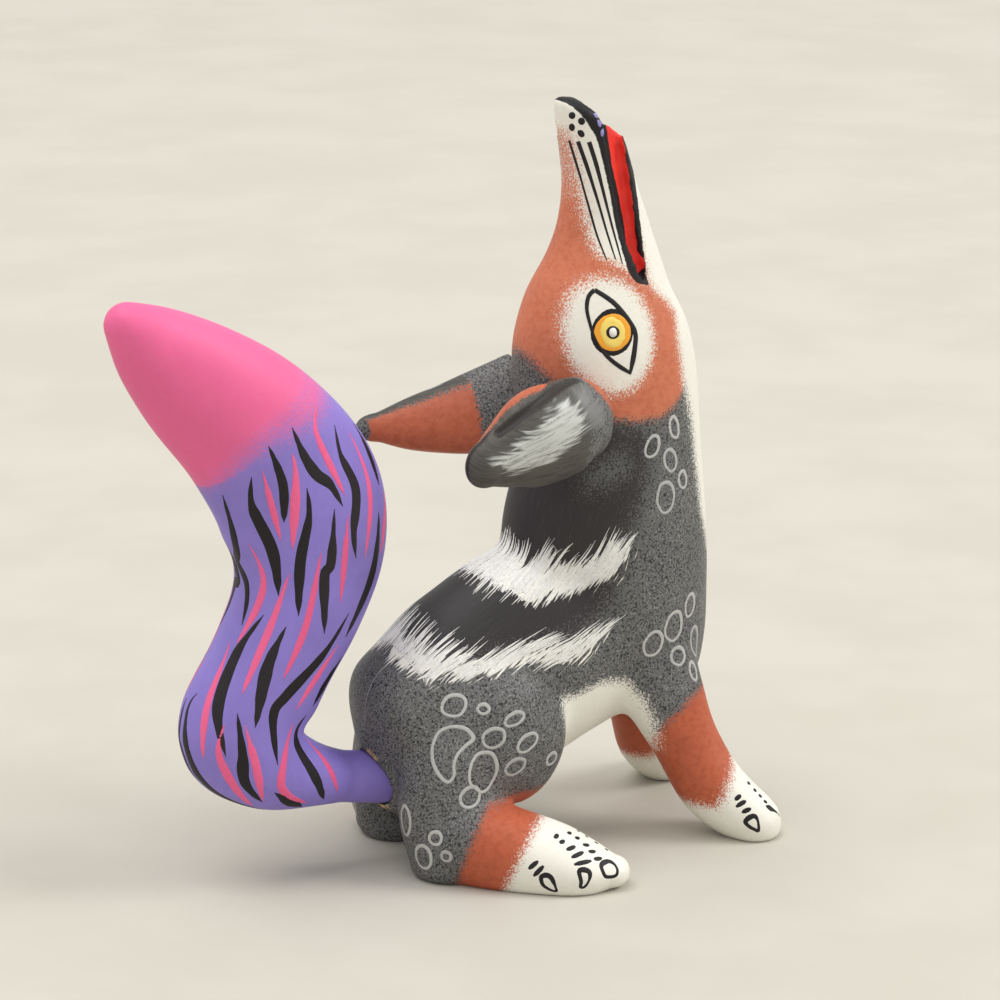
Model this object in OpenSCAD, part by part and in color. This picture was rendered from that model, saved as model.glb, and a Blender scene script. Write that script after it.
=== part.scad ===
// Carved and painted howling coyote: one carved block for the body, with a
// tail and two ears whittled apart and plugged into round sockets.
// +X is the way the coyote faces, +Y is its left and +Z is up.

/* [Body] */
// Height of the nose tip over the ground
figure_h = 160; // [150:1:170]
// Half the width of the neck under the ears
neck_half_w = 16; // [14:0.5:18]
// Half the width of the head at the eyes
head_half_w = 15; // [13.5:0.5:17]
// Half the width of the rump without the thighs
rump_half_w = 17; // [15:0.5:19]
// How far the thighs stand out from the middle of the body
thigh_out = 23; // [21:0.5:25]
// Half the distance by which the left heel stands ahead of the right one
heel_skew = 0.8; // [0:0.1:1]
// How far the left front paw stands ahead of the right one
left_paw_ahead = 4; // [0:0.5:5]

/* [Mouth] */
// Height of the corner of the mouth on a figure 160 high
mouth_low = 119; // [116:0.5:122]
// Width of the groove between the lips, halfway up it
mouth_w = 4.4; // [3:0.2:5]
// Depth of the groove between the lips
mouth_deep = 2.4; // [1.5:0.1:3]

/* [Tail] */
// Diameter of the round peg at the root of the tail
tail_peg_d = 11; // [10.75:0.25:11.5]
// Length of the peg inside the body
tail_peg_l = 11; // [8:0.5:13]
// Slope of the peg, rising to the rear
tail_peg_rise = 10; // [5:1:15]
// Half the thickness of the tail from side to side
tail_half_t = 12.5; // [10:0.5:14]

/* [Ears] */
// Diameter of the round peg at the root of each ear
ear_peg_d = 6; // [5:0.25:7]
// Length of the peg inside the head
ear_peg_l = 8; // [6:0.5:9]

/* [Fit] */
// Play between a peg and its socket, on the radius
peg_play = 0.08; // [0.04:0.01:0.1]
// Room left between the end of a peg and the bottom of its socket
socket_extra = 1; // [0.5:0.25:2]
// Gap between the root of an ear and the head
ear_gap = 0.2; // [0.15:0.05:0.4]

/* [Hidden] */
// How far the middle of the whole figure lies ahead of the heels' line
middle_x = 1.55;
// Height of the figure that the sections and the mouth are laid out for
drawn_h = 160;
// Length of a cut that has to pass right through the muzzle
through = 40;
// Size of the block of ground that trims the soles
ground = [300, 300, 40];
// How far the pegs of the tail and of an ear reach out into their own wood
tail_grip = 11;
ear_grip = 6;
// How far a socket's cut reaches out of the wood
socket_open = 20;
// Sides of a peg and of its socket
peg_sides = 48;

// ---- smooth skins through rows of sections ----
// A section is [x, y, z, front, back, side, lean]: its middle, its reach to the front, to
// the back and to each side, and the angle by which its front dips.

function unit(v) = v / norm(v);
function middle(s) = [s[0], s[1], s[2]];

// Point at t along the curve that runs through b and c, beside a and d
function glide(a, b, c, d, t) =
    (2 * b + (c - a) * t + (2 * a - 5 * b + 4 * c - d) * t * t
     + (3 * b - a - 3 * c + d) * t * t * t) / 2;

// Every section of the row, with the ones between worked out
function filled(row, per) = [
    for (i = [0 : len(row) - 2]) for (j = [0 : per - 1])
        glide(row[max(i - 1, 0)], row[i], row[i + 1], row[min(i + 2, len(row) - 1)], j / per),
    row[len(row) - 1]
];

// Direction of the row at its section i
function heading(rows, i) =
    unit(middle(rows[min(i + 1, len(rows) - 1)]) - middle(rows[max(i - 1, 0)]));

// Which way a section faces: the row's direction, dipped by its lean
function facing(s, dir, side) =
    let (v = unit(side - (side * dir) * dir), u = cross(v, dir))
    dir * cos(s[6]) + u * sin(s[6]);

// One oval ring, shrunk by f and moved the way it faces by shift
function ring(s, dir, side, sides, f, shift, inset) =
    let (n = facing(s, dir, side), v = unit(side - (side * n) * n), u = cross(v, n),
         c = middle(s) + n * shift)
    [for (k = [0 : sides - 1])
        let (a = 360 * k / sides, reach = (cos(a) > 0 ? s[3] : s[4]) - inset)
        c + u * reach * f * cos(a) + v * (s[5] - inset) * f * sin(a)];

// A closed skin through the row, with a round nose of the given length at each end
module skin(row, side, sides = 24, per = 4, nose = [4, 4], inset = 0, nose_rings = 4) {
    rows = filled(row, per);
    last = len(rows) - 1;
    dirs = [for (i = [0 : last]) heading(rows, i)];
    turns = [for (k = [1 : nose_rings - 1]) 90 * k / nose_rings];
    rings = concat(
        [for (k = [len(turns) - 1 : -1 : 0])
            ring(rows[0], dirs[0], side, sides, cos(turns[k]), -nose[0] * sin(turns[k]), inset)],
        [for (i = [0 : last]) ring(rows[i], dirs[i], side, sides, 1, 0, inset)],
        [for (a = turns)
            ring(rows[last], dirs[last], side, sides, cos(a), nose[1] * sin(a), inset)]);
    count = len(rings);
    poles = [
        middle(rows[0]) - facing(rows[0], dirs[0], side) * nose[0],
        middle(rows[last]) + facing(rows[last], dirs[last], side) * nose[1]];
    first_pole = count * sides;
    faces = concat(
        [for (i = [0 : count - 2]) for (k = [0 : sides - 1]) let (n = (k + 1) % sides)
            [i * sides + k, (i + 1) * sides + k, (i + 1) * sides + n, i * sides + n]],
        [for (k = [0 : sides - 1]) [first_pole, k, (k + 1) % sides]],
        [for (k = [0 : sides - 1])
            [first_pole + 1, (count - 1) * sides + (k + 1) % sides, (count - 1) * sides + k]]);
    polyhedron(concat([for (r = rings) each r], poles), faces, convexity = 8);
}

// Puts the origin under the middle of the figure
module centred() {
    translate([-middle_x, 0, 0]) children();
}

// ---- the carved body ----
// Heights over the shoulders follow the height of the whole figure
function lift(z) = z * figure_h / drawn_h;
module lifted() {
    scale([1, 1, figure_h / drawn_h]) children();
}

// Chest, neck, head and muzzle, from the breastbone up
module chest_and_head(inset = 0) {
    skin([
        [47, 0, 34, 17, 17, 12, 0],
        [45.5, 0, 42, 19, 20, 15.5, 0],
        [43, 0, 54, 21.5, 25, neck_half_w + 0.5, 0],
        [41.5, 0, 68, 22.4, 24.4, neck_half_w, 0],
        [41, 0, 84, 21.5, 20, neck_half_w - 0.5, 0],
        [40.5, 0, lift(98), 21, 20.3, head_half_w, 0],
        [39.5, 0, lift(108), 19.8, 19.7, head_half_w - 0.5, 0],
        [39.2, 0, lift(116), 17.2, 17, head_half_w - 2, 0],
        [39.8, 0, lift(125), 13, 12.5, 10.5, 0],
        [39.8, 0, lift(133), 10.2, 9.6, 8.4, 6],
        [38.8, 0, lift(142), 8.6, 8, 7.5, 20],
        [37.2, 0, lift(153.9), 8.3, 9.8, 6.6, 40]
    ], [0, 1, 0], sides = 32, per = 4, nose = [9, 3.2], inset = inset);
}

// Back and rump, from the tail socket to the chest; its front is its top
module rump() {
    skin([
        [-7.5, 0, 29, 17.2, 17, rump_half_w - 1, 0],
        [3, 0, 32.5, 21.8, 21, rump_half_w, 0],
        [13, 0, 37, 23, 23, rump_half_w, 0],
        [24, 0, 43, 23, 24, rump_half_w - 0.5, 0],
        [36, 0, 48, 21, 24.5, rump_half_w - 1.5, 0]
    ], [0, -1, 0], sides = 32, per = 4, nose = [8.8, 8]);
}

// Seat over the heels, which holds the tail's socket
module seat() {
    skin([
        [-2, 0, 15, 12, 12, 10, 0],
        [-3, 0, 29, 12, 14.5, 14, 0]
    ], [0, 1, 0], sides = 24, per = 2, nose = [6, 9]);
}

// Thigh on the side given by s: -1 is the coyote's right
module thigh(s) {
    skin([
        [1, s * 12, 28, 13, 15, 8, 0],
        [8.5, s * 13.5, 28, 16, 17, thigh_out - 13.5, 0],
        [15, s * 13.5, 25.5, 12.5, 13.5, thigh_out - 15, 0]
    ], [0, -1, 0], sides = 28, per = 4, nose = [11, 8]);
}

// Hind leg from the rump down to the heel; its front is the side turned to the tail
module hind_shank(s) {
    skin([
        [0, s * 11, 26, 12, 13, 10, 0],
        [-1.5 + s * heel_skew, s * 13, 14, 12, 13, 9.5, 0],
        [-2.5 + s * heel_skew, s * 15, 3, 9, 11, 9, 0]
    ], [0, 1, 0], sides = 24, per = 3, nose = [6, 6]);
}

// Hind foot, turned out; its front is its sole
module hind_foot(s) {
    skin([
        [-3, s * 16, 9, 10, 10, 9, 0],
        [5, s * 23, 7, 10.5, 9, 9.5, 0],
        [14, s * 30.5, 4.5, 8.3, 8, 9, 0],
        [19.5, s * 34.4, 3.6, 6.3, 5.5, 7.8, 0],
        [23.2, s * 37, 3.3, 3.3, 3.4, 4.6, 0]
    ], s * [-0.7, s * 0.7, 0], sides = 24, per = 4, nose = [5, 3.5]);
}

// Front leg, splayed; its front is its hinder side and, at the paw, its sole
module front_leg(s, ahead) {
    skin([
        [47, s * 8, 46, 17, 9, 6, 0],
        [50 + ahead, s * 10.5, 32, 10.8, 8.6, 6.8, 0],
        [53.3 + ahead, s * 13.3, 21, 7.4, 7.4, 6.5, 0],
        [58.5 + ahead, s * 17.5, 10.5, 7.6, 6.8, 7.2, 0],
        [65 + ahead, s * 21.8, 3, 6, 6.4, 8, 0]
    ], [0, 1, 0], sides = 24, per = 4, nose = [4, 7.1]);
}

// The space between the lips: it opens from the corner of the mouth up to the nose and
// leans back with the muzzle. Each corner is its place across and up the mouth
module mouth() {
    w = mouth_w;
    corners = [
        [0.5 * w, 1], [0.5 * w, 60], [-0.6 * w, 60], [-0.6 * w, 35],
        [-0.54 * w, 26], [-0.45 * w, 20], [-0.25 * w, 11], [0.1 * w, 3.5]
    ];
    lifted() translate([43, 0, mouth_low]) rotate([0, -6, 0])
        rotate([90, 0, 0]) linear_extrude(through, center = true) polygon(corners);
}

// The groove round the muzzle, as deep as the wood around the mouth's core lets it be
module groove() {
    difference() {
        mouth();
        chest_and_head(mouth_deep);
    }
}

// What is carved off the front of the nose, so that the jaw ends lower than the upper lip
module jaw_end() {
    profile = [
        [32.6, 162], [33.6, 158.6], [35.4, 157], [36.4, 154.6], [37, 154.2],
        [39.6, 153.4], [42, 151.6], [44.1, 148.6], [45.4, 145], [60, 145], [60, 175], [32, 175]
    ];
    lifted() rotate([90, 0, 0]) linear_extrude(through, center = true) polygon(profile);
}

// Everything under the soles, cut away so that all four stand flat
module under_ground() {
    translate([0, 0, -ground[2] / 2]) cube(ground, center = true);
}

// ---- pegs and their sockets ----
// Middle of each socket's mouth and the way its peg points out of the body
tail_root = [-14.5, 0, 18.7];
tail_out = [-cos(tail_peg_rise), 0, sin(tail_peg_rise)];
right_ear_root = [24.8, -10.9, 94];
left_ear_root = [30, 13.2, 92];
function ear_out(s) = unit([-0.9, s * 0.42, 0]);

// Turns what stands along Z so that it points along v, at the point p
module aim(p, v) {
    translate(p) rotate([0, acos(v[2]), atan2(v[1], v[0])]) children();
}

// A round peg that reaches in by l and out by grip
module peg(p, v, d, l, grip) {
    aim(p, v) translate([0, 0, -l]) cylinder(d = d, h = l + grip, $fn = peg_sides);
}

// The hole for a peg, open to well outside the wood
module socket(p, v, d, l) {
    peg(p, v, d + 2 * peg_play, l + socket_extra, socket_open);
}

// The whole carving from one block, before its sockets are drilled
module carved_block() {
    resize([0, 0, 0]) difference() {
        union() {
            chest_and_head();
            rump();
            seat();
            for (s = [-1, 1]) {
                thigh(s);
                hind_shank(s);
                hind_foot(s);
            }
            front_leg(-1, 0);
            front_leg(1, left_paw_ahead);
        }
        groove();
        jaw_end();
        under_ground();
    }
}

module body() {
    color("dimgray") centred() difference() {
        carved_block();
        socket(tail_root, tail_out, tail_peg_d, tail_peg_l);
        socket(right_ear_root, ear_out(-1), ear_peg_d, ear_peg_l);
        socket(left_ear_root, ear_out(1), ear_peg_d, ear_peg_l);
    }
}

// ---- the tail ----
// Its row runs from the peg round the bend and up to the tip; its front is the hollow side
module tail() {
    color("mediumpurple") centred() {
        resize([0, 0, 0]) skin([
            [-20, 0, 19.7, 5.2, 5.2, 5.2, 0],
            [-29, 0, 21.5, 7.2, 6.7, 8, 0],
            [-38.5, 0, 25.5, 11, 10.2, 10, 0],
            [-44, 0, 34, 13.9, 14.1, 11, 0],
            [-39.5, 0, 48, 15.3, 10.6, tail_half_t - 0.5, 0],
            [-32.5, 0, 60, 15.7, 13, tail_half_t, 0],
            [-29, 0, 72, 17.2, 17.7, tail_half_t, 0],
            [-31, 0, 84, 17.5, 18.4, tail_half_t, 0],
            [-40.5, 0, 98, 15.3, 16.9, tail_half_t - 0.5, 0],
            [-53, 0, 109.5, 12.2, 13.9, 10, 0],
            [-63, 0, 118, 8.2, 9.4, 7.5, 0],
            [-69, 0, 123, 4.4, 4.4, 4.5, 0]
        ], [0, 1, 0], sides = 28, per = 4, nose = [2, 3]);
        peg(tail_root, tail_out, tail_peg_d, tail_peg_l, tail_grip);
    }
}

// ---- the ears ----
// Each ear is a row of sections from its root to its tip. Its front is the face turned to the
// neck, and its reach to each side is half its height
right_ear_row = [
    [30.8, -14, 90.6, 3, 3.8, 3.4, 0],
    [28.6, -15, 91.9, 5, 6, 6.2, 0],
    [24, -17, 94.6, 6, 8.5, 10, 0],
    [17, -19.8, 94.5, 6, 9, 10.8, 0],
    [10, -22.3, 94.3, 5.5, 8.2, 10.7, 0],
    [4, -24.5, 92.8, 4.5, 6.5, 8, 0],
    [-1.2, -26.3, 91.5, 3.2, 4.5, 5.2, 0]
];
left_ear_row = [
    [28, 14, 92, 4, 8, 11, 0],
    [20, 17.5, 90, 5, 9, 9.2, 0],
    [14, 20, 88.7, 4.5, 8, 7.8, 0],
    [6, 23.5, 87.5, 3.5, 6.5, 5.6, 0],
    [0, 26, 87, 2, 4, 3.2, 0]
];

// An ear rolled about its own length by roll, its root carved to lie on the head
module ear(s, row, roll, root) {
    color("gray") centred() {
        resize([0, 0, 0]) difference() {
            skin(row, s * [0, s * sin(roll), cos(roll)], sides = 24, per = 4, nose = [1, 5]);
            chest_and_head(-ear_gap);
        }
        peg(root, ear_out(s), ear_peg_d, ear_peg_l, ear_grip);
    }
}

module right_ear() {
    ear(-1, right_ear_row, 10, right_ear_root);
}

module left_ear() {
    ear(1, left_ear_row, 30, left_ear_root);
}

body();
tail();
right_ear();
left_ear();
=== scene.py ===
"""A carved and painted howling coyote with a plug-in tail and ears, on a plain pale floor.

Lengths are millimetres until the meshes are made. X is the way the coyote faces, Y its left, Z up.
"""

import math
import random

import bpy
import numpy as np
from mathutils import Matrix, Vector
from mathutils.bvhtree import BVHTree


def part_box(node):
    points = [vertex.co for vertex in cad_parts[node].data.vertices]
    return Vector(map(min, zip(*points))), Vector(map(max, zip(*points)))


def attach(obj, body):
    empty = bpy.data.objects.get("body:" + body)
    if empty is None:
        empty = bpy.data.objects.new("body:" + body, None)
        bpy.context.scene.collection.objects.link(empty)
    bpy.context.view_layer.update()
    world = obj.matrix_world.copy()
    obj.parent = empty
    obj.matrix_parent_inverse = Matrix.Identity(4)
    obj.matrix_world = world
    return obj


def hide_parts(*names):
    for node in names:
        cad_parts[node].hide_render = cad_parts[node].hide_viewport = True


MM = 0.001
NOWHERE = -9.0  # the value of a paint zone's field where that paint can't be
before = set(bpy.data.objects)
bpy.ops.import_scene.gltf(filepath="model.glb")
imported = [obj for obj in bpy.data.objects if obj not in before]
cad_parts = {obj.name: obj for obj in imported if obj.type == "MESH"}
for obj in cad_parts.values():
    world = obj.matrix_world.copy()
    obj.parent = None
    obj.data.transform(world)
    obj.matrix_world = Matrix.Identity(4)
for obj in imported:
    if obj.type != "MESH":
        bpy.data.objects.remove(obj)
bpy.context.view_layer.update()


def interp_path(points, at):
    """The point of a polyline at a length along it."""
    pts = np.asarray(points, float)
    steps = np.linalg.norm(np.diff(pts, axis=0), axis=1)
    ends = np.concatenate([[0], np.cumsum(steps)])
    return np.stack([np.interp(at, ends, pts[:, k]) for k in range(pts.shape[1])], -1)


def smooth_path(points, step):
    """A curve through the points (Catmull-Rom), cut into short steps."""
    pts = [Vector(p) for p in points]
    if len(pts) == 2:
        count = max(2, int((pts[1] - pts[0]).length / step) + 1)
        return [pts[0].lerp(pts[1], i / count) for i in range(count + 1)]
    out = []
    for i in range(len(pts) - 1):
        a, b, c, d = pts[max(i - 1, 0)], pts[i], pts[i + 1], pts[min(i + 2, len(pts) - 1)]
        count = max(1, int((c - b).length / step) + 1)
        for j in range(count):
            t = j / count
            out.append((b * 2 + (c - a) * t + (a * 2 - b * 5 + c * 4 - d) * t * t
                        + (b * 3 - a - c * 3 + d) * t ** 3) / 2)
    out.append(pts[-1])
    return out


# ---- carved wood: the CAD shapes with their joins softened ----
def wood_grid(node, pitch):
    """The node's surface as an even grid of small faces, in millimetres."""
    source = bpy.data.objects.new("source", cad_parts[node].data.copy())
    bpy.context.scene.collection.objects.link(source)
    source.data.transform(Matrix.Scale(1 / MM, 4))
    grid = source.modifiers.new("grid", "REMESH")
    grid.mode = "VOXEL"
    grid.voxel_size = pitch
    shape = source.evaluated_get(bpy.context.evaluated_depsgraph_get())
    mesh = bpy.data.meshes.new_from_object(shape)
    bpy.data.objects.remove(source)
    return mesh


class Wood:
    """A wooden surface that can be smoothed, painted and given strokes."""

    def __init__(self, node, pitch):
        mesh = wood_grid(node, pitch)
        self.pitch = pitch
        self.co = np.empty(len(mesh.vertices) * 3)
        mesh.vertices.foreach_get("co", self.co)
        self.co = self.co.reshape(-1, 3)
        edges = np.empty(len(mesh.edges) * 2, int)
        mesh.edges.foreach_get("vertices", edges)
        edges = edges.reshape(-1, 2)
        self.here = np.concatenate([edges[:, 0], edges[:, 1]])
        self.there = np.concatenate([edges[:, 1], edges[:, 0]])
        self.count = np.maximum(np.bincount(self.here, minlength=len(self.co)), 1)
        self.faces = [tuple(p.vertices) for p in mesh.polygons]
        self.fields = {}
        bpy.data.meshes.remove(mesh)

    def blurred(self, values, reach):
        """Values averaged with their neighbours' over about reach millimetres."""
        for _ in range(max(1, round(4 * (reach / self.pitch) ** 2))):
            near = np.stack([np.bincount(self.here, values[self.there, k], len(values))
                             for k in range(values.shape[1])], 1) / self.count[:, None]
            values = (values + near) / 2
        return values

    def smoothed(self, reach):
        """Smoother places that keep the size of broad shapes."""
        once = self.blurred(self.co, reach)
        return once + self.blurred(self.co - once, reach)

    def finish_shape(self):
        """Fixes the shape, after which it can be measured and painted."""
        self.tree = BVHTree.FromPolygons([tuple(c) for c in self.co], self.faces)
        quads = np.array([f if len(f) == 4 else (*f, f[2]) for f in self.faces])
        p = self.co[quads]
        flat = np.cross(p[:, 2] - p[:, 0], p[:, 3] - p[:, 1])
        tri = np.array([len(f) == 3 for f in self.faces])
        flat[tri] = np.cross(p[tri, 1] - p[tri, 0], p[tri, 2] - p[tri, 0])
        out = np.zeros_like(self.co)
        for k in range(4):
            for axis in range(3):
                out[:, axis] += np.bincount(quads[:, k], flat[:, axis], len(self.co))
        self.normal = out / np.maximum(np.linalg.norm(out, axis=1, keepdims=True), 1e-9)

    def on(self, point):
        """The nearest point of the surface and its outward normal."""
        place, normal, _, _ = self.tree.find_nearest(point)
        return place, normal

    def made(self, name):
        """The Blender object, with the paint fields as attributes."""
        mesh = bpy.data.meshes.new(name)
        mesh.from_pydata([tuple(c * MM) for c in self.co], [], self.faces)
        mesh.polygons.foreach_set("use_smooth", [True] * len(mesh.polygons))
        for field, values in self.fields.items():
            layer = mesh.attributes.new(field, "FLOAT", "POINT")
            layer.data.foreach_set("value", np.asarray(values, np.float32))
        obj = bpy.data.objects.new(name, mesh)
        bpy.context.scene.collection.objects.link(obj)
        return obj


def ramp(value, low, high):
    """0 below low, 1 above high and smooth between."""
    t = np.clip((value - low) / (high - low), 0, 1)
    return t * t * (3 - 2 * t)


def opened(co, root, out, radius, depth, room):
    """Widens a socket's wall by room, so that the wood never touches the peg."""
    root, out = np.array(root, float), np.array(out, float)
    out /= np.linalg.norm(out)
    rel = co - root
    along = rel @ out
    off = rel - along[:, None] * out
    r = np.linalg.norm(off, axis=1)
    wall = (along > 0.6 - depth) & (along < 12) & (r < radius + room + 0.3) & (r > radius * 0.6)
    grow = np.where(wall, np.maximum(radius + room, r) / np.maximum(r, 1e-6), 1)
    return root + along[:, None] * out + off * grow[:, None]


# ---- places on the figure ----
TAIL_ROOT, TAIL_OUT = (-16.05, 0, 18.7), (-0.9848, 0, 0.1736)
RIGHT_EAR_ROOT, LEFT_EAR_ROOT = (23.25, -10.9, 94), (28.45, 13.2, 92)
EAR_OUT = {-1: (-0.9062, -0.4229, 0), 1: (-0.9062, 0.4229, 0)}
TAIL_PEG_R, EAR_PEG_R = 5.5, 3.0
TAIL_SOCKET, EAR_SOCKET = 12, 9  # depths
LEFT_PAW_AHEAD = 4.0  # how far the left front paw stands ahead of the right one
# The middle line of the trunk from the rump to the head, and of the tail from its peg to its tip
TRUNK = [(-9.5, 30), (6.5, 36), (22.5, 48), (32.5, 62), (37.5, 78), (38, 98)]
TAIL = [(-16, 19), (-22, 20), (-30.5, 21.5), (-40, 25.5), (-45.5, 34), (-41, 48), (-34, 60),
        (-30.5, 72), (-32.5, 84), (-42, 98), (-54.5, 109.5), (-64.5, 118), (-72, 124.5)]


def around(wood, line, along, turn, hand):
    """Point of the surface seen from the middle line, at a length along it and a turn in degrees
    from the back (hand 1) or from the hollow side (hand -1); 90 is the right side."""
    here = interp_path(line, along)
    ahead = interp_path(line, along + 0.5) - interp_path(line, along - 0.5)
    ahead /= max(np.linalg.norm(ahead), 1e-6)
    back = Vector((-ahead[1] * hand, 0, ahead[0] * hand))
    a = math.radians(turn)
    way = back * math.cos(a) + Vector((0, -math.sin(a), 0))
    start = Vector((here[0], 0, here[1]))
    hit, _, _, _ = wood.tree.ray_cast(start, way, 60)
    return hit if hit else wood.on(start + way * 15)[0]


def along_and_turn(co, line, hand):
    """The reverse of around, for many points at once."""
    pts = np.asarray(line, float)
    q = co[:, [0, 2]]
    best = np.full(len(q), 1e9)
    along, turn = np.zeros(len(q)), np.zeros(len(q))
    start = 0.0
    for a, b in zip(pts[:-1], pts[1:]):
        size = np.linalg.norm(b - a)
        way = (b - a) / size
        t = np.clip((q - a) @ way, 0, size)
        off = q - (a + t[:, None] * way)
        far = np.linalg.norm(off, axis=1)
        back = np.array([-way[1], way[0]]) * hand
        better = far < best
        best = np.where(better, far, best)
        along = np.where(better, start + t, along)
        turn = np.where(better, np.degrees(np.arctan2(-co[:, 1], off @ back)), turn)
        start += size
    return along, turn


def inside(x, z, outline):
    """How far each point is inside an outline drawn in side view, negative outside."""
    pts = np.asarray(outline, float)
    far = np.full(len(x), 1e9)
    within = np.zeros(len(x), bool)
    for (ax, az), (bx, bz) in zip(pts, np.roll(pts, -1, axis=0)):
        wx, wz = bx - ax, bz - az
        t = np.clip(((x - ax) * wx + (z - az) * wz) / (wx * wx + wz * wz), 0, 1)
        far = np.minimum(far, np.hypot(x - ax - t * wx, z - az - t * wz))
        if az != bz:
            crosses = (az > z) != (bz > z)
            within ^= crosses & (x < ax + (z - az) * wx / wz)
    return np.where(within, far, -far)


# ---- paint: strokes and dabs as thin raised skins ----
# Cross-sections of a stroke, as places across it and heights: a thin one and a broad one
THIN = ((-1, 0), (-0.75, 1), (0.75, 1), (1, 0))
BROAD = ((-1, 0), (-0.85, 0.9), (-0.3, 1), (0.3, 1), (0.85, 0.9), (1, 0))


class Paint:
    """Strokes of one colour on one piece of wood, gathered into one mesh."""

    def __init__(self, wood, seed):
        self.wood, self.rng = wood, random.Random(seed)
        self.verts, self.faces, self.tones = [], [], []

    def laid(self, spot, height):
        """The spot moved to a height over the wood."""
        place, normal = self.wood.on(spot)
        return place + normal * height

    @staticmethod
    def swelling(widths, count):
        """The widths spread evenly over count places, flowing from one to the next."""
        at = np.linspace(0, len(widths) - 1, count)
        low = np.minimum(at.astype(int), len(widths) - 2)
        t = at - low
        t = t * t * (3 - 2 * t)
        w = np.asarray(widths, float)
        return w[low] * (1 - t) + w[low + 1] * t

    def stroke(self, points, widths, lift=0.06, step=0.7):
        """A ribbon along the points, its width running through the given widths."""
        path = [self.wood.on(p)[0] for p in smooth_path(points, step)]
        path = [p for i, p in enumerate(path) if i == 0 or (p - path[i - 1]).length > 0.02]
        if len(path) < 3:
            return
        profile = BROAD if max(widths) > 1.4 else THIN
        sizes = self.swelling(widths, len(path))
        first, around_it = len(self.verts), 2 * len(profile) - 2
        for i, middle in enumerate(path):
            ahead = (path[min(i + 1, len(path) - 1)] - path[max(i - 1, 0)]).normalized()
            side = ahead.cross(self.wood.on(middle)[1]).normalized() * (max(sizes[i], 0.05) / 2)
            tops = [self.laid(middle + side * o, lift * h - 0.02) for o, h in profile]
            lows = [self.laid(middle + side * o, -0.14) for o, _ in profile[-2:0:-1]]
            self.verts += tops + lows
        self.tones += [self.rng.random()] * (len(path) * around_it)
        for i in range(len(path) - 1):
            a, b = first + i * around_it, first + (i + 1) * around_it
            for k in range(around_it):
                n = (k + 1) % around_it
                self.faces.append((a + k, a + n, b + n, b + k))
        self.faces.append(tuple(first + k for k in reversed(range(around_it))))
        self.faces.append(tuple(first + (len(path) - 1) * around_it + k for k in range(around_it)))

    def upright(self, spot):
        """The surface's nearest point, and the ways up and to the right along the surface there."""
        place, normal = self.wood.on(spot)
        rise = (Vector((0, 0, 1)) - normal * normal.z).normalized()
        return place, rise, rise.cross(normal)

    def blob(self, centre, outline, lean=0.0, lift=0.06):
        """A dab whose outline is given as places right and up of its middle, seen from outside.
        lean turns it clockwise, in degrees."""
        place, rise, right = self.upright(Vector(centre))
        a = math.radians(lean)
        v, u = rise * math.cos(a) + right * math.sin(a), right * math.cos(a) - rise * math.sin(a)
        spokes = len(outline)
        rings = max(2, int(max(math.hypot(*o) for o in outline) / 0.7) + 1)
        first = len(self.verts)
        shares = [0.94 * k / (rings - 1) for k in range(rings)] + [1.0]
        for low in (False, True):
            for ring in range(rings + (0 if low else 1)):
                f = shares[ring]
                height = -0.14 if low else (lift if ring < rings else 0) - 0.02
                for x, y in outline[:1] if ring == 0 else outline:
                    self.verts.append(self.laid(place + u * (x * f) + v * (y * f), height))
        self.tones += [self.rng.random()] * (len(self.verts) - first)
        top = [[first]] + [[first + 1 + r * spokes + k for k in range(spokes)] for r in range(rings)]
        base = first + 1 + rings * spokes
        bottom = [[base]] + [[base + 1 + r * spokes + k for k in range(spokes)]
                             for r in range(rings - 1)] + [top[-1]]
        for rows, flip in ((top, False), (bottom, True)):
            for r in range(rings):
                for k in range(spokes):
                    n = (k + 1) % spokes
                    face = ((rows[0][0], rows[1][k], rows[1][n]) if r == 0 else
                            (rows[r][k], rows[r + 1][k], rows[r + 1][n], rows[r][n]))
                    self.faces.append(face[::-1] if flip else face)

    def disc(self, centre, radii, lean=0.0, lift=0.06, wobble=0.03):
        """A round or oval dab."""
        turns = np.linspace(0, 2 * math.pi, 28, endpoint=False)
        start = self.rng.random() * 6
        outline = []
        for t in turns:
            f = 1 + wobble * math.sin(2 * t + start) + wobble * self.rng.uniform(-0.7, 0.7)
            outline.append((radii[0] * f * math.cos(t), radii[1] * f * math.sin(t)))
        self.blob(centre, outline, lean, lift)

    def made(self, name):
        mesh = bpy.data.meshes.new(name)
        mesh.from_pydata([tuple(v * MM) for v in self.verts], [], self.faces)
        mesh.polygons.foreach_set("use_smooth", [True] * len(mesh.polygons))
        tone = mesh.attributes.new("tone", "FLOAT", "POINT")
        tone.data.foreach_set("value", np.asarray(self.tones, np.float32))
        obj = bpy.data.objects.new(name, mesh)
        bpy.context.scene.collection.objects.link(obj)
        return obj


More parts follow.
